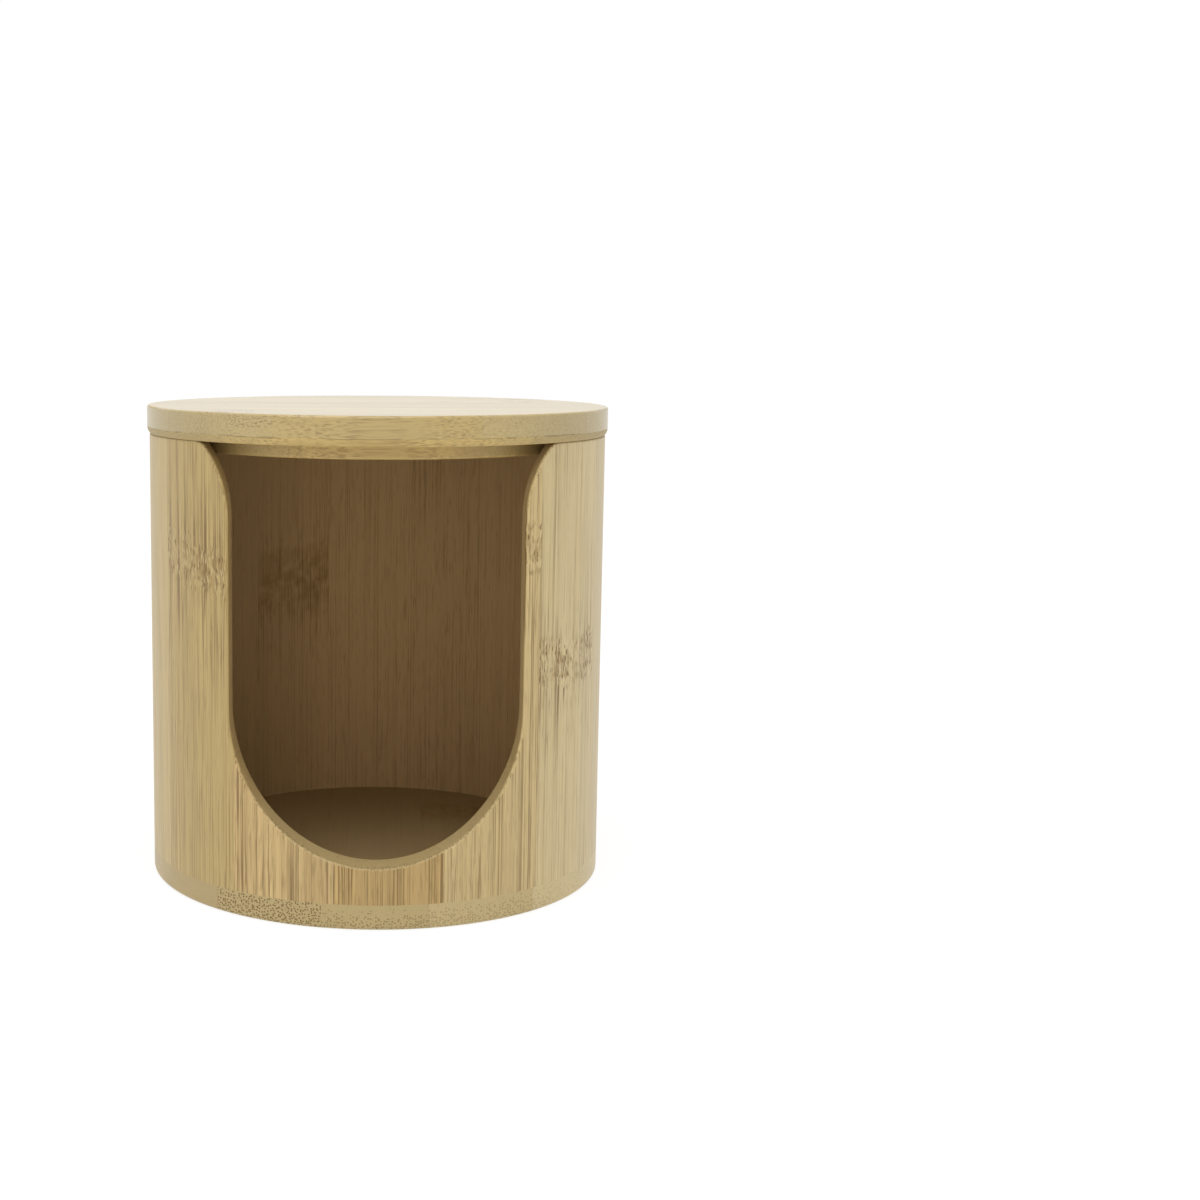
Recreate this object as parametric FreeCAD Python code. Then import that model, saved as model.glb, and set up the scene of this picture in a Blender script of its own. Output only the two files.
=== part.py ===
import FreeCAD, Part
import math
import os

# Cotton pad holder in laminated bamboo. A ring of glued staves, open at the front through a tall
# round-bottomed window, stands on a disc of glued strips. A lift-off lid of two plies closes the mouth:
# its lower ply is turned down to a shallow plug that drops inside the ring.
# Millimetres, +Z up, the window faces -Y, and the origin is the centre of the underside.

# Ring of staves
TUBE_DIAMETER = 99.0
TUBE_HEIGHT = 91.0
WALL = 7.0
STAVE_COUNT = 14
STAVE_TURN = 3.2            # degrees from -Y to the middle of the front stave, towards +X
EDGE_EASE = 0.5             # sanded round on the mouth and on the window's edges

# Window in the front of the ring
SIDE_COVER = 12.95          # how far the wall reaches in front of the bore on each side of the window
SILL_HEIGHT = 7.4           # from the base up to the lowest point of the window
FLARE_RADIUS = 23.0         # arc by which the window widens towards the mouth
FLARE_HEIGHT = 15.0         # from the start of that arc up to the mouth
LIP_RADIUS = 2.5            # round where that arc runs out into the mouth

# Base
BASE_THICKNESS = 5.25
BASE_STRIP_COUNT = 5
BASE_EDGE_STRIP = 17.25     # what is left of the outermost strips once the disc is turned
BASE_EDGE_ROUND = 1.0

# Lid
LID_OVERHANG = 0.5          # how far the lid's rim stands out past the ring
UPPER_PLY = 4.5
LOWER_PLY = 4.5
LOWER_FLANGE = 1.5          # part of the lower ply that is left at the lid's full diameter
PLUG_CLEARANCE = 0.4        # radial gap between the plug and the ring
LID_STRIP_COUNT = 6
UPPER_FRONT_STRIP = 4.3     # what is left of the upper ply's outermost strips, front and back
UPPER_BACK_STRIP = 17.3
LOWER_EDGE_STRIP = 10.8     # the same on the lower ply, whose joints then lie between the upper ones
LID_TOP_ROUND = 0.5
LID_UNDER_DRAW = 0.65       # how far an arc over the flange's height draws the rim in at its foot
PLUG_ROUND = 0.5

# Making
OVERSHOOT = 5.0             # how far a cutting shape reaches past what it cuts
ROUND_SHARE = 0.95          # a round takes at most this share of the edge that it is cut on
SAME = 1e-6                 # lengths closer than this are the same

# Places that follow from the dimensions
TUBE_RADIUS = TUBE_DIAMETER / 2
BORE_RADIUS = TUBE_RADIUS - WALL
MOUTH = BASE_THICKNESS + TUBE_HEIGHT
LID_RADIUS = TUBE_RADIUS + LID_OVERHANG
PLUG_RADIUS = BORE_RADIUS - PLUG_CLEARANCE
PLY_JOINT = MOUTH + LOWER_FLANGE
PLUG_BOTTOM = PLY_JOINT - LOWER_PLY
LID_TOP = PLY_JOINT + UPPER_PLY

PARTS_FOLDER = "parts"


def disc(radius, bottom, top):
    """Upright cylinder on the axis between two heights."""
    return Part.makeCylinder(radius, top - bottom, FreeCAD.Vector(0, 0, bottom))


def round_rim(solid, radius, height, size, limit):
    """Rounds a turned solid's edge at this radius and height, by at most its share of a limiting length."""
    rim = [
        edge
        for edge in solid.Edges
        if isinstance(edge.Curve, Part.Circle)
        and abs(edge.Curve.Radius - radius) < SAME
        and abs(edge.Curve.Center.z - height) < SAME
    ]
    return solid.makeFillet(min(size, ROUND_SHARE * limit), rim)


def strips(board, radius, count, first, last, across):
    """Divides a round board into glued strips by flat joints, with equal strips between the outermost two.

    across is the direction that the strips are counted in, "x" or "y", and the grain runs along the other.
    """
    width = (2 * radius - first - last) / (count - 2)
    joints = [first - radius + number * width for number in range(count - 1)]
    edge = radius + OVERSHOOT
    bottom = -OVERSHOOT
    height = LID_TOP + OVERSHOOT - bottom
    pieces = []
    for low, high in zip([-edge, *joints], [*joints, edge]):
        if across == "x":
            slab = Part.makeBox(high - low, 2 * edge, height, FreeCAD.Vector(low, -edge, bottom))
        else:
            slab = Part.makeBox(2 * edge, high - low, height, FreeCAD.Vector(-edge, low, bottom))
        pieces.append(board.common(slab))
    return pieces


def point(x, z):
    """A point of the window's outline, drawn in front of the ring."""
    return FreeCAD.Vector(x, -TUBE_RADIUS - OVERSHOOT, z)


def arc(start, centre, end):
    """Arc of less than half a circle from start to end about a centre."""
    radius = (start - centre).Length
    middle = start + end - centre * 2
    middle.normalize()
    return Part.Arc(start, centre + middle * radius, end).toShape()


def window_side(side):
    """One half of the window's outline, from the sill up past the mouth; side is 1 for +X and -1 for -X.

    A quarter circle springs from the sill, a straight side follows, then an arc that flares outwards,
    and a small round that touches that arc from inside and runs out level with the mouth.
    """
    half = BORE_RADIUS - SIDE_COVER
    sill = BASE_THICKNESS + SILL_HEIGHT
    flare_start = MOUTH - FLARE_HEIGHT
    flare_x = half + FLARE_RADIUS
    lip_height = MOUTH - LIP_RADIUS
    lip_reach = FLARE_RADIUS - LIP_RADIUS
    lip_x = flare_x - math.sqrt(lip_reach**2 - (lip_height - flare_start) ** 2)

    bottom = point(0, sill)
    spring = point(side * half, sill + half)
    side_top = point(side * half, flare_start)
    flare_centre = point(side * flare_x, flare_start)
    lip_centre = point(side * lip_x, lip_height)
    flare_end = flare_centre + (lip_centre - flare_centre) * (FLARE_RADIUS / lip_reach)
    lip_end = point(side * lip_x, MOUTH)
    above = point(side * lip_x, MOUTH + OVERSHOOT)
    return [
        arc(bottom, point(0, sill + half), spring),
        Part.makeLine(spring, side_top),
        arc(side_top, flare_centre, flare_end),
        arc(flare_end, lip_centre, lip_end),
        Part.makeLine(lip_end, above),
    ]


def window_cutter():
    """The window's outline carried straight back through the front wall, as far as the ring's axis."""
    right = window_side(1)
    left = window_side(-1)
    top = Part.makeLine(right[-1].Vertexes[-1].Point, left[-1].Vertexes[-1].Point)
    outline = Part.Wire(Part.__sortEdges__(right + left + [top]))
    return Part.Face(outline).extrude(FreeCAD.Vector(0, TUBE_RADIUS + OVERSHOOT, 0))


def eased_ring():
    """The ring with its window, before it is divided, with the edges of mouth and window sanded round."""
    ring = disc(TUBE_RADIUS, BASE_THICKNESS, MOUTH).cut(disc(BORE_RADIUS, BASE_THICKNESS, MOUTH))
    ring = ring.cut(window_cutter())
    walls = [
        face
        for face in ring.Faces
        if isinstance(face.Surface, Part.Cylinder) and abs(abs(face.Surface.Axis.z) - 1) < SAME
    ]
    edges = [
        edge
        for wall in walls
        for edge in wall.Edges
        if edge.BoundBox.ZMax > BASE_THICKNESS + SAME and not edge.isSeam(wall)
    ]
    return ring.makeFillet(min(EDGE_EASE, ROUND_SHARE * WALL / 2), edges)


def stave_wedge(number):
    """The sector of the ring that one stave fills, between two upright joints that meet on the axis."""
    half_turn = math.pi / STAVE_COUNT
    middle = math.radians(STAVE_TURN) + 2 * half_turn * number
    reach = (TUBE_RADIUS + OVERSHOOT) / math.cos(half_turn)
    corners = [FreeCAD.Vector(0, 0, 0)]
    for turn in (middle - half_turn, middle + half_turn):
        corners.append(FreeCAD.Vector(reach * math.sin(turn), -reach * math.cos(turn), 0))
    sector = Part.Face(Part.makePolygon(corners + corners[:1]))
    return sector.extrude(FreeCAD.Vector(0, 0, MOUTH + OVERSHOOT))


def wall_staves():
    """The staves, numbered from the front one round towards +X."""
    ring = eased_ring()
    return [ring.common(stave_wedge(number)) for number in range(STAVE_COUNT)]


def base_strips():
    """The base's strips from -X to +X, with their grain from front to back."""
    board = disc(TUBE_RADIUS, 0, BASE_THICKNESS)
    board = round_rim(board, TUBE_RADIUS, 0, BASE_EDGE_ROUND, BASE_THICKNESS)
    return strips(board, TUBE_RADIUS, BASE_STRIP_COUNT, BASE_EDGE_STRIP, BASE_EDGE_STRIP, "x")


def drawn_flange():
    """The lower ply's part at the lid's full diameter, drawn in by an arc from its upper edge to its foot."""
    foot_x = LID_RADIUS - LID_UNDER_DRAW
    radius = (LOWER_FLANGE**2 + LID_UNDER_DRAW**2) / (2 * LID_UNDER_DRAW)
    axis_low = FreeCAD.Vector(0, 0, MOUTH)
    foot = FreeCAD.Vector(foot_x, 0, MOUTH)
    edge = FreeCAD.Vector(LID_RADIUS, 0, PLY_JOINT)
    axis_high = FreeCAD.Vector(0, 0, PLY_JOINT)
    outline = [
        Part.makeLine(axis_low, foot),
        arc(foot, FreeCAD.Vector(LID_RADIUS - radius, 0, PLY_JOINT), edge),
        Part.makeLine(edge, axis_high),
        Part.makeLine(axis_high, axis_low),
    ]
    return Part.Face(Part.Wire(outline)).revolve(FreeCAD.Vector(0, 0, 0), FreeCAD.Vector(0, 0, 1), 360)


def lid_upper_strips():
    """The strips of the lid's upper ply from front to back, with their grain from side to side."""
    board = disc(LID_RADIUS, PLY_JOINT, LID_TOP)
    board = round_rim(board, LID_RADIUS, LID_TOP, LID_TOP_ROUND, UPPER_PLY)
    return strips(board, LID_RADIUS, LID_STRIP_COUNT, UPPER_FRONT_STRIP, UPPER_BACK_STRIP, "y")


def lid_lower_strips():
    """The strips of the lid's lower ply from front to back: a thin flange, and the plug turned under it."""
    plug = disc(PLUG_RADIUS, PLUG_BOTTOM, MOUTH)
    plug = round_rim(plug, PLUG_RADIUS, PLUG_BOTTOM, PLUG_ROUND, LOWER_PLY - LOWER_FLANGE)
    board = drawn_flange().fuse(plug).removeSplitter()
    return strips(board, LID_RADIUS, LID_STRIP_COUNT, LOWER_EDGE_STRIP, LOWER_EDGE_STRIP, "y")


def main():
    groups = {
        "wall_stave": wall_staves(),
        "base_strip": base_strips(),
        "lid_upper_strip": lid_upper_strips(),
        "lid_lower_strip": lid_lower_strips(),
    }
    os.makedirs(PARTS_FOLDER, exist_ok=True)
    for name, pieces in groups.items():
        for number, piece in enumerate(pieces, 1):
            piece.exportStep(os.path.join(PARTS_FOLDER, f"{name}_{number:02d}.step"))


main()
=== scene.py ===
import math
from functools import partial

import bpy
import numpy as np
from mathutils import Matrix, Vector


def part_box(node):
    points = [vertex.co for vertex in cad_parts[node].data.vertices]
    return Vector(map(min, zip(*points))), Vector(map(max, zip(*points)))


# A bamboo holder for cotton pads: round wall of glued staves with a tall window, strip-laminated base,
# two-ply lid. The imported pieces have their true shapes, so this script gives them their wood, and adds
# a pale floor, soft light and the camera. Metres in the scene, millimetres in the wood's patterns.

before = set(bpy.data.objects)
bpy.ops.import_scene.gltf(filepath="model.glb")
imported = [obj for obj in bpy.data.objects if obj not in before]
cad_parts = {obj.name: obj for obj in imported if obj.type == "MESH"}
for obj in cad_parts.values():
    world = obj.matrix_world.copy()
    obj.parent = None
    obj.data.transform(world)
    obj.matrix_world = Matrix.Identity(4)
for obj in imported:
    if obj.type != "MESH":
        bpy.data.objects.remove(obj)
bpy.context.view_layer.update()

MM = 0.001

# Places in the glued-up blanks, in millimetres and degrees
STAVE_TURN = 3.2                    # from -Y to the middle of the first stave, towards +X
WALL_OUTSIDE = 49.5                 # radius of the wall
BORE_SIDE = 18.9                    # width of a stave on the bore side
PLY_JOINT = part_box("lid_upper_strip_03")[0].z / MM      # height of the glue line between the lid's plies

# Camera, fitted to the rims, the window and the floor of the holder
CAMERA_PLACE = (0.0, -0.3914, 0.1194)
CAMERA_PITCH = math.radians(7.87)   # downwards
CAMERA_ROLL = math.radians(0.30)
CAMERA_LENS = 53.54                 # millimetres, as the sensor
SENSOR_WIDTH = 36.0
PICTURE_SIZE = 1200                 # pixels each way
OPTICAL_AXIS = (376.7, 571.9)       # where the lens points, in pixels from the picture's top left corner

# Stage and light
STAGE_HALF = 4.0                    # half width of the floor and of the backdrop
SOFT_BOX_PLACE = Vector((-0.05, -0.3, 0.85))
SOFT_BOX_SIZE = 0.6
SOFT_BOX_POWER = 3.0

# Bamboo's colours; each strip has its own ground colour in the tables below
WARM_BAND = "9C7C42"                # runs of warmer tissue, and the shadow of a culm node
FIBRE_BROWN = "745A2C"
DASH_BROWN = "705528"
SWELLING_CREAM = "C8B480"
GLUE_BROWN = "5E4A2A"
BORE_BROWN = "BB9D72"
# The floor inside the holder, browner and darker than the base's strips: partly the wood's tone, partly
# painted shade
FLOOR_BROWN_AND_PAINTED_SHADE = "9A825E"
STAVE_CUT = "AC986A"                # end grain of the wall
LID_CUT = "A59263"                  # end grain of the lid

# Bamboo's sizes in millimetres: across the grain, through the strip, along the grain
BUNDLE = (0.56, 0.56, 1.0)          # one vascular bundle and the soft tissue round it
RUN = (2.0, 2.0, 20.0)              # stretches in which a bundle lies open at the surface
HAIR = (0.32, 0.32, 90.0)           # fibres that the sanding has opened, drawn wider than they are
FLECK = (0.4, 0.4, 5.0)             # short torn fibres between them
CLUSTER = (3.0, 3.0, 22.0)          # places where such fibres crowd together
STRIPE = (2.2, 3.0, 150.0)          # runs of darker and paler tissue
BAND = (8.0, 8.0, 170.0)            # slow changes of colour across a strip
GLUE_BREAK = (2.5, 2.5, 6.0)        # stretches of a glue line that show
SWELLING = (0.8, 3.2, 1.0)          # pale swellings in a culm node, across and along
DASH = (0.9, 3.2, 1.0)              # cut-off bundles beside them, across and along
CHURN = 2.6                         # size of the swirls in a culm node
DRIFT = 30.0                        # length over which the fibres wander
NODE_HALF = 3.0                     # half height of a culm node's band
NODE_END = 6.0                      # half height at which the band has faded out
NODE_END_INSIDE = 11.0              # the same on the bore side, where the band is softer
NODE_WANDER = 7.0                   # how far the band wanders up and down
NODE_WAVE = 4.0                     # width of one such wave
SKIRT_BELOW = (-22.0, -5.0)         # heights under a culm node between which fibres grow strong
SKIRT_ABOVE = (2.0, 14.0)           # heights over it between which they grow weak again
SIDE_LINE = (0.08, 0.20)            # how far from the joint a glue line is full, and where it ends
PLY_LINE = (0.06, 0.20)             # the same between the lid's plies
RELIEF = 0.06                       # depth of the open fibres

# Spans of the noise over which a pattern begins to show, or goes
RUN_SHOWS = (0.38, 0.58)
CLUSTER_SHOWS = (0.36, 0.60)
STRIPE_SHOWS = (0.45, 0.80)
BAND_SHOWS = (0.32, 0.68)
FLECK_SHOWS = (0.56, 0.68)
DARK_HAIR_SHOWS = (0.53, 0.60)
PALE_HAIR_GOES = (0.30, 0.44)
DASH_SHOWS = (0.43, 0.54)
SHADOW_SHOWS = (0.46, 0.62)
SHADOW_SHOWS_INSIDE = (0.32, 0.68)  # on the bore side
SIDE_GLUE_SHOWS = (0.45, 0.65)
PLY_GLUE_SHOWS = (0.48, 0.60)

# Spans of a cell, counted from its middle, over which the mark in it ends
BUNDLE_EDGE = (0.16, 0.45)
SWELLING_EDGE = (0.10, 0.32)
DASH_EDGE = (0.11, 0.22)

# Roughness of the finish
LACQUERED = 0.40
END_GRAIN = 0.60
OPEN_FIBRE = 0.65
RAW = 0.80

# How far a face looks one way, from 0 to 1, where a change begins and where it is full
END_FACE = (0.35, 0.75)             # along the grain, from a long face to end grain
STREAK_FACE = (0.3, 0.7)            # along the grain, as the streaks go
BROAD_FACE = (0.6, 0.9)             # through the strip, from its sides to its broad faces
BORE_FACE = (0.5, 0.9)              # into the bore
BORE_SHARE = 0.8                    # how much of the bore side is its own browner colour


def linear(colour, tone=1.0):
    """An sRGB hex colour as linear red, green and blue, lightened or darkened by tone, with full alpha."""
    parts = np.array([int(colour[k : k + 2], 16) for k in (0, 2, 4)]) / 255
    parts = np.where(parts <= 0.04045, parts / 12.92, ((parts + 0.055) / 1.055) ** 2.4)
    return (*(tone * parts).tolist(), 1.0)


def node(tree, kind, sockets=(), output=None, **settings):
    """Adds a shader node, sets its properties, fills its sockets with values or with other sockets.

    Sockets are filled in order, or from a dictionary by name or number. In order, Map Range takes a value,
    the two ends of its span and what it gives there. Mix has its share at 0 and its colours at 6 and 7.
    Gives back the named output, or the first one in use.
    """
    made = tree.nodes.new(kind)
    for name, value in settings.items():
        setattr(made, name, value)
    for socket, value in sockets.items() if isinstance(sockets, dict) else enumerate(sockets):
        if isinstance(value, bpy.types.NodeSocket):
            tree.links.new(value, made.inputs[socket])
        else:
            made.inputs[socket].default_value = value
    return next((out for out in made.outputs if out.enabled and output in (None, out.name)), None)


def per_mm(sizes):
    """Pattern cells of these sizes, as a scale for coordinates in millimetres."""
    return tuple(1 / size for size in sizes)


def bamboo(name, across, along, middle, level, joint, seed, colour, cut, streaks, dots, rind,
           knot=None, tilt=0.0, inside=None, inside_tones_and_painted_light=(1.0, 1.0), lacquer=0.1, ply_line=False):
    """Laminated bamboo, sanded and thinly lacquered: straw with fine darker fibres that end as dots.

    across and along are the strip's directions, middle and level its place across and through. joint is
    the place of its glued sides as (half width, half wedge angle). colour is its ground and cut the ground
    of its ends, streaks and dots the strength of the fibres on long faces and on ends. Bundles thin out from
    the first to the second place in rind, measured through the strip. knot is the place along the grain of
    a culm node, which leans by tilt. inside is the browner colour of the side that looks into the bore and
    is left raw, on the base partly painted shade; inside_tones_and_painted_light is how light it is at its
    two edges, partly the wood's own tone and partly painted light and shade. lacquer is the strength of the
    finish, and ply_line draws a glue line at the level.
    """
    material = bpy.data.materials.new(name)
    material.use_nodes = True
    tree = material.node_tree
    tree.nodes.clear()
    add = partial(node, tree)
    shift = np.random.default_rng(seed).uniform(50, 500, 3).tolist()
    depth = Vector(along).cross(Vector(across))

    # Millimetres across, through and along the strip, counted from its middle, level and culm node
    position = add("ShaderNodeTexCoord", output="Object")
    facing = add("ShaderNodeTexCoord", output="Normal")
    place = add("ShaderNodeMapping", {
        "Vector": position,
        "Location": (-middle, -level, -(knot or 0.0)),
        "Rotation": Matrix((across, depth, along)).to_euler(),
        "Scale": (1 / MM,) * 3,
    })
    through = add("ShaderNodeSeparateXYZ", [place], output="Y")
    sideways = through.node.outputs["X"]
    spot = add("ShaderNodeVectorMath", [place, shift], operation="ADD")

    # Fibres wander a little sideways, and more in depth, so that they come to the surface and go again
    drift = add("ShaderNodeTexNoise", {"Vector": spot, "Scale": 1 / DRIFT, "Detail": 1.0}, output="Color")
    lay = add("ShaderNodeVectorMath", [drift, (0.3, 0.8, 0.0), spot], operation="MULTIPLY_ADD")

    # The strip's broad faces, and the one of them that looks into the bore
    broad = add("ShaderNodeVectorMath", [facing, depth], operation="DOT_PRODUCT")
    bore = add("ShaderNodeMapRange", [broad, *BORE_FACE, 0.0, BORE_SHARE]) if inside else None
    broad = add("ShaderNodeMath", [broad], operation="ABSOLUTE")

    def by_bore(without, within):
        """One value away from the bore and another on its side; a strip with no such side has the first."""
        if bore is None:
            return without
        return add("ShaderNodeMapRange", [bore, 0.0, BORE_SHARE, without, within])

    if knot is not None:
        # A culm node crosses the strip: a leaning, uneven band of churned grain, and a skirt of fibres
        edge = add("ShaderNodeTexNoise", {"Vector": spot, "Scale": 1 / NODE_WAVE, "Detail": 1.0})
        edge = add("ShaderNodeMath", [edge, NODE_WANDER, -NODE_WANDER / 2], operation="MULTIPLY_ADD")
        lean = add("ShaderNodeVectorMath", [place, (tilt, 0.0, 1.0)], operation="DOT_PRODUCT")
        height = add("ShaderNodeMath", [lean, edge], operation="ADD")
        reach = add("ShaderNodeMath", [height], operation="ABSOLUTE")
        node_end = by_bore(NODE_END, NODE_END_INSIDE)
        core = add("ShaderNodeMapRange", [reach, NODE_HALF, node_end, 1.0, 0.0],
                   interpolation_type="SMOOTHSTEP")
        below = add("ShaderNodeMapRange", [height, *SKIRT_BELOW, 0.0, 1.7])
        skirt = add("ShaderNodeMapRange", [height, *SKIRT_ABOVE, below, 0.0])
        churn = add("ShaderNodeTexNoise", {"Vector": spot, "Scale": 1 / CHURN, "Detail": 2.0},
                    output="Color")
        swirl = churn.node.outputs["Fac"]
        churn = add("ShaderNodeVectorMath", [churn, (0.5, 0.5, 0.5)], operation="SUBTRACT")
        churn = add("ShaderNodeVectorMath", {0: churn, "Scale": by_bore(core, 0.0)}, operation="SCALE")
        lay = add("ShaderNodeVectorMath", [churn, (1.0, 1.0, 3.0), lay], operation="MULTIPLY_ADD")

    # Vascular bundles, denser towards the rind side; green picks the few that show on long faces
    bundle = add("ShaderNodeVectorMath", [lay, per_mm(BUNDLE)], operation="MULTIPLY")
    bundle_reach = add("ShaderNodeTexVoronoi", {"Vector": bundle, "Scale": 1.0, "Randomness": 0.85},
                       output="Distance", voronoi_dimensions="2D")
    chance = add("ShaderNodeSeparateColor", [bundle_reach.node.outputs["Color"]])
    pick = chance.node.outputs["Green"]
    sparse = add("ShaderNodeMapRange", [pick, 0.5, 0.65, 0.0, 0.75 * streaks])
    rare = add("ShaderNodeMapRange", [through, *rind, -0.3, 0.85])
    chance = add("ShaderNodeMath", [chance, rare], operation="SUBTRACT")
    shown = add("ShaderNodeMapRange", [chance, 0.0, 0.3, 0.0, 1.0])
    fibre = add("ShaderNodeMapRange", [bundle_reach, *BUNDLE_EDGE, shown, 0.0],
                interpolation_type="SMOOTHSTEP")

    # Open stretches, hair lines, flecks and where they crowd, stripes and slow bands, each with its detail
    patterns = ((RUN, 1.0), (HAIR, 2.0), (FLECK, 1.0), (CLUSTER, 1.0), (STRIPE, 2.0), (BAND, 2.0))
    run, hair, fleck, cluster, stripe, band = (
        add("ShaderNodeTexNoise", {
            "Vector": add("ShaderNodeVectorMath", [lay, per_mm(sizes)], operation="MULTIPLY"),
            "Scale": 1.0,
            "Detail": detail,
        })
        for sizes, detail in patterns
    )

    # End grain shows where a face looks along the grain; elsewhere the fibres do, most of all by a culm node
    end = add("ShaderNodeVectorMath", [facing, along], operation="DOT_PRODUCT")
    end = add("ShaderNodeMath", [end], operation="ABSOLUTE")
    end_share = add("ShaderNodeMapRange", [end, *END_FACE, 0.0, 0.85])
    open_force = add("ShaderNodeMapRange", [run, *RUN_SHOWS, 0.0, sparse])
    fibre_force = add("ShaderNodeMapRange", [end, *END_FACE, open_force, dots])
    streak_force = add("ShaderNodeMapRange", [end, *STREAK_FACE, streaks, 0.12])
    if knot is not None:
        streak_force = add("ShaderNodeMath", [skirt, streak_force, streak_force], operation="MULTIPLY_ADD")
        streak_force = add("ShaderNodeMath", [streak_force, 1.0], operation="MINIMUM")
    crowd = add("ShaderNodeMapRange", [cluster, *CLUSTER_SHOWS, 0.18, by_bore(1.1, 0.6)])
    hair_force = add("ShaderNodeMath", [crowd, streak_force], operation="MULTIPLY")
    stripe_force = add("ShaderNodeMath", [streak_force, 0.45], operation="MULTIPLY")
    fleck_force = add("ShaderNodeMath", [streak_force, 0.4], operation="MULTIPLY")

    # Colour in layers, each a share and a colour: ground, end grain and bore first, then the dark fibres
    warm = add("ShaderNodeMapRange", [stripe, *STRIPE_SHOWS, 0.0, stripe_force])
    pale = add("ShaderNodeMapRange", [hair, *PALE_HAIR_GOES, hair_force, 0.0])
    hair_line = add("ShaderNodeMapRange", [hair, *DARK_HAIR_SHOWS, 0.0, hair_force])
    torn = add("ShaderNodeMapRange", [fleck, *FLECK_SHOWS, 0.0, fleck_force])
    dark = add("ShaderNodeMath", [fibre, fibre_force], operation="MULTIPLY")
    layers = [(warm, linear(WARM_BAND)), (pale, linear(colour, 1.3)), (end_share, linear(cut))]
    if inside:
        # The bore side's tone runs from one edge to the other, and carries painted light and shade
        shade = add("ShaderNodeMapRange", [sideways, -BORE_SIDE / 2, BORE_SIDE / 2, *inside_tones_and_painted_light])
        bare = add("ShaderNodeVectorMath", {0: linear(inside)[:3], "Scale": shade}, operation="SCALE")
        layers.append((bore, bare))
    layers += [(share, linear(FIBRE_BROWN)) for share in (hair_line, torn, dark)]

    if knot is not None:
        # Brown shadows and pale swellings on the broad faces, and the cut ends of bundles beside them
        core = add("ShaderNodeMapRange", [broad, *BROAD_FACE, 0.0, core])
        shadow_force = add("ShaderNodeMath", [core, 0.65], operation="MULTIPLY")
        core = by_bore(core, 0.0)
        swelling_force = add("ShaderNodeMath", [core, 0.45], operation="MULTIPLY")
        dash_force = add("ShaderNodeMapRange", [swirl, *DASH_SHOWS, 0.0, core])
        flat = add("ShaderNodeSeparateXYZ", [lay], output="X")
        flat = add("ShaderNodeCombineXYZ", {"X": flat, "Y": flat.node.outputs["Z"]})
        swelling, dash = (
            add("ShaderNodeTexVoronoi", {
                "Vector": add("ShaderNodeVectorMath", [flat, per_mm(sizes)], operation="MULTIPLY"),
                "Scale": 1.0,
            }, output="Distance", voronoi_dimensions="2D")
            for sizes in (SWELLING, DASH)
        )
        shadow_shows = map(by_bore, SHADOW_SHOWS, SHADOW_SHOWS_INSIDE)
        shadow = add("ShaderNodeMapRange", [swirl, *shadow_shows, 0.0, shadow_force])
        swelling = add("ShaderNodeMapRange", [swelling, *SWELLING_EDGE, swelling_force, 0.0])
        dash = add("ShaderNodeMapRange", [dash, *DASH_EDGE, dash_force, 0.0])
        layers.append((shadow, linear(WARM_BAND, 0.8)))
        layers.append((swelling, linear(SWELLING_CREAM)))
        layers.append((dash, linear(DASH_BROWN)))
        dark = add("ShaderNodeMath", [dark, dash], operation="MAXIMUM")

    # Glue lines at the strip's sides, and between the lid's plies, showing only in stretches
    half_width, half_wedge = joint
    side_facing = (-math.cos(half_wedge), -math.sin(half_wedge), 0.0)
    folded = add("ShaderNodeVectorMath", [place], operation="ABSOLUTE")
    side = add("ShaderNodeVectorMath", [folded, side_facing], operation="DOT_PRODUCT")
    side = add("ShaderNodeMath", [side, half_width], operation="ADD")
    stretch = add("ShaderNodeVectorMath", [spot, per_mm(GLUE_BREAK)], operation="MULTIPLY")
    stretch = add("ShaderNodeTexNoise", {"Vector": stretch, "Scale": 1.0, "Detail": 1.0})
    side_force = add("ShaderNodeMapRange", [stretch, *SIDE_GLUE_SHOWS, 0.0, 0.3])
    glue = add("ShaderNodeMapRange", [side, *SIDE_LINE, side_force, 0.0])
    if ply_line:
        ply = add("ShaderNodeMath", [through], operation="ABSOLUTE")
        ply_force = add("ShaderNodeMapRange", [stretch, *PLY_GLUE_SHOWS, 0.0, 0.6])
        ply = add("ShaderNodeMapRange", [ply, *PLY_LINE, ply_force, 0.0])
        glue = add("ShaderNodeMath", [glue, ply], operation="MAXIMUM")
    layers.append((glue, linear(GLUE_BROWN)))

    slow = add("ShaderNodeMapRange", [band, *BAND_SHOWS, 0.0, 1.0])
    light_ground = linear(colour, 1.08)
    dark_ground = linear(colour, 0.94)
    wood = add("ShaderNodeMix", {0: slow, 6: light_ground, 7: dark_ground}, data_type="RGBA")
    for share, paint in layers:
        wood = add("ShaderNodeMix", {0: share, 6: wood, 7: paint}, data_type="RGBA")

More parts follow.
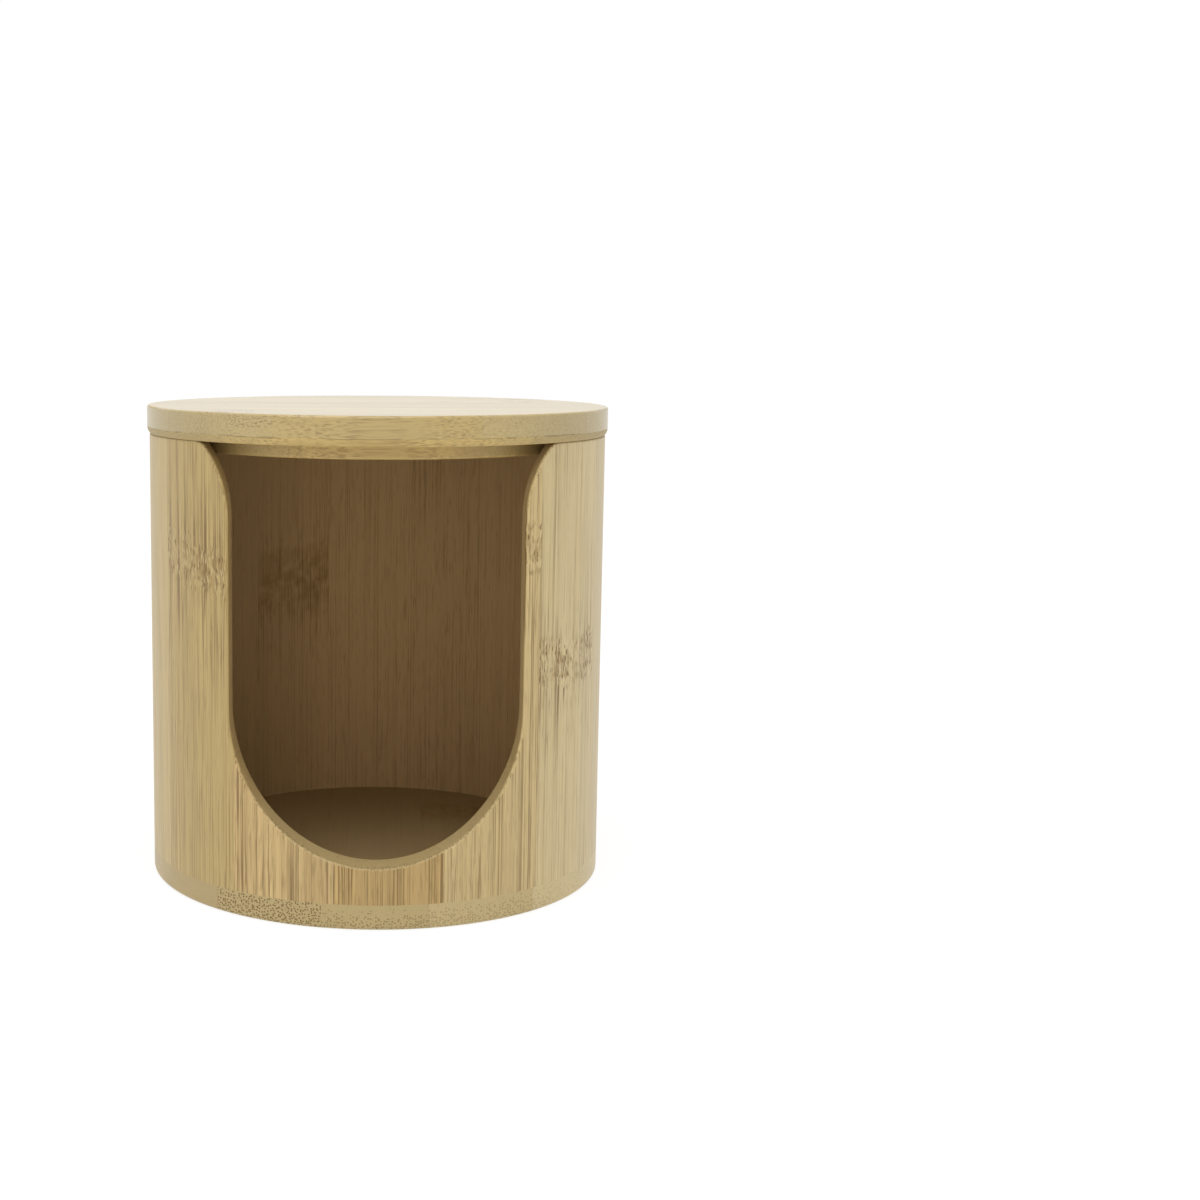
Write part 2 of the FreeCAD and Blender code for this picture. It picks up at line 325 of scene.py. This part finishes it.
    # Open fibres and end grain are rougher than the soft tissue, fibres lie a little lower, the bore is raw
    ground = add("ShaderNodeMapRange", [end, *END_FACE, LACQUERED, END_GRAIN])
    rough = add("ShaderNodeMapRange", [dark, 0.0, 1.0, ground, OPEN_FIBRE])
    rough = add("ShaderNodeMath", [hair, 0.1, rough], operation="MULTIPLY_ADD")
    relief = add("ShaderNodeMath", [dark, -1.0, hair], operation="MULTIPLY_ADD")
    relief = add("ShaderNodeMath", [relief, glue], operation="SUBTRACT")
    bump = add("ShaderNodeBump", {"Height": relief, "Strength": 0.6, "Distance": RELIEF * MM})
    shader = add("ShaderNodeBsdfPrincipled", {
        "Base Color": wood,
        "Roughness": by_bore(rough, RAW),
        "Normal": bump,
        "IOR": 1.5,
        "Specular IOR Level": by_bore(0.5, 0.1),
        "Coat Weight": by_bore(lacquer, 0.0),
        "Coat Roughness": 0.2,
    })
    add("ShaderNodeOutputMaterial", {"Surface": shader})
    return material


def dress(piece, material):
    """Gives a piece its one material."""
    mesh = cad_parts[piece].data
    mesh.materials.clear()
    mesh.materials.append(material)


def family(start):
    """The names of the pieces that start so, in order."""
    return sorted(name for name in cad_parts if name.startswith(start))


# Staves in the order of their numbers, from the front one round towards +X: ground colour, partly the
# stave's own tone and partly painted light and shade that make up for how the light falls on the wall,
# strength of the streaks, height of the culm node in millimetres if there is one, how it leans, and how
# light the bore side is, partly its own tone and partly painted light and shade in the bore
STAVES = (
    ("AE9059", 0.76, None, 0.0, 1.0),
    ("BDA572", 0.60, 77.0, 0.1, 1.0),
    ("C2AE7F", 0.38, 51.0, 0.0, 1.0),
    ("BEAA7B", 0.30, None, 0.0, 1.05),
    ("B7A06D", 0.42, 24.0, 0.1, 1.1),
    ("B59D66", 0.40, None, 0.0, 1.12),
    ("AD945E", 0.55, None, 0.0, 1.2),
    ("B39A64", 0.45, None, 0.0, 1.36),
    ("AF9660", 0.38, 58.0, 0.1, 1.12),
    ("B69F6A", 0.45, None, 0.0, 0.70),
    ("B0975F", 0.55, 36.0, 0.0, 0.72),
    ("B59E69", 0.35, None, 0.0, 1.0),
    ("AD955E", 0.48, 71.0, 0.22, 1.0),
    ("BB9F6A", 0.80, None, 0.0, 1.0),
)

# The bore side shades from joint to joint, so that neighbouring staves meet in one tone. The tones are
# partly the staves' own and partly painted light and shade, lighter at the back of the bore and darker on
# its left side.
half_wedge = math.pi / len(STAVES)
stave_joint = (WALL_OUTSIDE * math.sin(half_wedge), half_wedge)
bore_tones_and_painted_light = np.array([stave[4] for stave in STAVES])
joint_tones_and_painted_light = ((bore_tones_and_painted_light + np.roll(bore_tones_and_painted_light, -1)) / 2).tolist()
for number, (piece, (colour, streaks, knot, tilt, _)) in enumerate(zip(family("wall_stave"), STAVES)):
    turn = math.radians(STAVE_TURN) + 2 * half_wedge * number
    dress(piece, bamboo(
        f"lacquered_bamboo_{piece}",
        across=(math.cos(turn), math.sin(turn), 0.0),
        along=(0.0, 0.0, 1.0),
        middle=0.0,
        level=-WALL_OUTSIDE,
        joint=stave_joint,
        seed=number,
        colour=colour,
        cut=STAVE_CUT,
        streaks=streaks,
        dots=0.75,
        rind=(0.0, 2.5),
        knot=knot,
        tilt=tilt,
        inside=BORE_BROWN,
        inside_tones_and_painted_light=(joint_tones_and_painted_light[number - 1], joint_tones_and_painted_light[number]),
    ))

# Strips in the order of their numbers: ground colour, strength of the streaks and of the dots on their ends,
# the places between which their bundles thin out, and the place of the culm node along the strip
# The base's ground colours grow lighter towards +X: partly the strips' own tones, partly painted light that
# makes up for the weaker light from the camera's right
BASE_STRIPS = (
    ("A99467", 0.12, 0.08, (0.0, 3.0), None),
    ("AD9969", 0.12, 1.00, (0.0, 14.0), None),
    ("AD9968", 0.12, 0.70, (0.0, 4.5), None),
    ("B5A171", 0.12, 0.50, (0.0, 5.0), -20.0),
    ("C0AD7F", 0.12, 0.40, (0.0, 5.0), None),
)
LID_UPPER_STRIPS = (
    ("B0985D", 0.42, 0.16, (0.0, 6.0), None),
    ("B6A068", 0.40, 0.18, (0.0, 6.0), -29.5),
    ("B8A36C", 0.45, 0.16, (0.0, 6.0), None),
    ("B49F67", 0.50, 0.16, (0.0, 6.0), None),
    ("B8A26A", 0.40, 0.18, (0.0, 6.0), 34.0),
    ("B29C65", 0.45, 0.16, (0.0, 6.0), None),
)
LID_LOWER_STRIPS = (
    ("BFA363", 0.40, 0.22, (0.0, -6.0), None),
    ("BA9E61", 0.40, 0.22, (0.0, -6.0), None),
    ("B99F62", 0.35, 0.22, (0.0, -6.0), None),
    ("B4985C", 0.40, 0.22, (0.0, -6.0), -31.0),
    ("B89D60", 0.35, 0.22, (0.0, -6.0), None),
    ("B59A5E", 0.40, 0.22, (0.0, -6.0), None),
)

X = (1.0, 0.0, 0.0)
Y = (0.0, 1.0, 0.0)
FRONT = (0.0, -1.0, 0.0)

# How the names of a board's pieces start, its strips, directions across and along, the height that depth is
# counted from, colour of the ends if it isn't the strip's own, colour in the bore, and lacquer
BOARDS = (
    # The base's colour in the bore is darker than its strips: partly painted shade on the floor inside the
    # holder
    ("base_strip", BASE_STRIPS, X, FRONT, 0.0, None, FLOOR_BROWN_AND_PAINTED_SHADE, 0.1),
    ("lid_upper_strip", LID_UPPER_STRIPS, Y, X, PLY_JOINT, LID_CUT, None, 0.75),
    ("lid_lower_strip", LID_LOWER_STRIPS, Y, X, PLY_JOINT, LID_CUT, None, 0.1),
)

for board, (start, strips, across, along, level, cut, inside, lacquer) in enumerate(BOARDS, 1):
    sides = [[corner.dot(Vector(across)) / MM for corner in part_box(piece)] for piece in family(start)]
    width = max(high - low for low, high in sides)
    for number, (piece, (low, high)) in enumerate(zip(family(start), sides)):
        colour, streaks, dots, rind, knot = strips[number]
        dress(piece, bamboo(
            f"lacquered_bamboo_{piece}",
            across=across,
            along=along,
            # The outermost strips are glued on one side, and their other side would lie outside the disc
            middle=low + width / 2 if number == len(strips) - 1 else high - width / 2,
            level=level,
            joint=(width / 2, 0.0),
            seed=100 * board + number,
            colour=colour,
            cut=cut or colour,
            streaks=streaks,
            dots=dots,
            rind=rind,
            knot=knot,
            inside=inside,
            lacquer=lacquer,
            ply_line=start.startswith("lid"),
        ))


def stage(name, mesh, colour, glow, ghost):
    """Puts a mesh on the stage in a matt colour with a white glow; a ghost is seen, but lights nothing."""
    piece = bpy.data.objects.new(name, mesh)
    bpy.context.scene.collection.objects.link(piece)
    material = bpy.data.materials.new(name)
    material.use_nodes = True
    shader = material.node_tree.nodes["Principled BSDF"]
    shader.inputs["Base Color"].default_value = linear(colour)
    shader.inputs["Roughness"].default_value = 0.9
    shader.inputs["Specular IOR Level"].default_value = 0.0
    shader.inputs["Emission Color"].default_value = linear("FFFFFF")
    shader.inputs["Emission Strength"].default_value = glow
    mesh.materials.append(material)
    piece.visible_diffuse = not ghost
    piece.visible_glossy = not ghost
    piece.visible_shadow = not ghost


def square(half):
    """The corners of a level square about the origin."""
    return [(-half, -half, 0), (half, -half, 0), (half, half, 0), (-half, half, 0)]


def floor(name, half):
    """One level square about the origin."""
    mesh = bpy.data.meshes.new(name)
    mesh.from_pydata(square(half), [], [(0, 1, 2, 3)])
    return mesh


def room(name, half):
    """Four walls and a ceiling round the origin, facing inwards and open at the floor."""
    foot = square(half)
    head = [(x, y, half) for x, y, _ in foot]
    walls = [(k, k + 4, (k + 1) % 4 + 4, (k + 1) % 4) for k in range(4)]
    mesh = bpy.data.meshes.new(name)
    mesh.from_pydata(foot + head, [], walls + [(7, 6, 5, 4)])
    return mesh


# A light table of opal acrylic, lit from below so that only a faint shadow is left, and a white backdrop
stage("matt_opal_acrylic_light_table", floor("light_table", STAGE_HALF), "7A7A7A", 0.82, False)
stage("matt_white_paper_backdrop", room("backdrop", STAGE_HALF), "000000", 1.02, True)

# Soft white light from all round, weaker from the camera's right, and a soft box from above
world = bpy.data.worlds.new("soft_studio")
world.use_nodes = True
add = partial(node, world.node_tree)
direction = add("ShaderNodeTexCoord", output="Generated")
away = add("ShaderNodeVectorMath", [direction, (-0.7, 0.7, 0.0)], operation="DOT_PRODUCT")
glow = add("ShaderNodeMapRange", [away, -0.97, -0.70, 0.5, 1.0])
background = world.node_tree.nodes["Background"]
background.inputs["Color"].default_value = linear("FFFFFF")
world.node_tree.links.new(glow, background.inputs["Strength"])
bpy.context.scene.world = world

box_data = bpy.data.lights.new("soft_box", "AREA")
box_data.size = SOFT_BOX_SIZE
box_data.energy = SOFT_BOX_POWER
soft_box = bpy.data.objects.new("soft_box", box_data)
soft_box.location = SOFT_BOX_PLACE
soft_box.rotation_euler = (-SOFT_BOX_PLACE).to_track_quat("-Z", "Y").to_euler()
bpy.context.scene.collection.objects.link(soft_box)

camera_data = bpy.data.cameras.new("camera")
camera_data.lens = CAMERA_LENS
camera_data.sensor_width = SENSOR_WIDTH
camera_data.shift_x = 0.5 - OPTICAL_AXIS[0] / PICTURE_SIZE
camera_data.shift_y = OPTICAL_AXIS[1] / PICTURE_SIZE - 0.5
camera = bpy.data.objects.new("camera", camera_data)
aim = Matrix.Rotation(math.pi / 2 - CAMERA_PITCH, 4, "X") @ Matrix.Rotation(CAMERA_ROLL, 4, "Z")
camera.matrix_world = Matrix.Translation(CAMERA_PLACE) @ aim
bpy.context.scene.collection.objects.link(camera)
bpy.context.scene.camera = camera

# Colours come out as given, and the surround stays white
bpy.context.scene.view_settings.view_transform = "Standard"
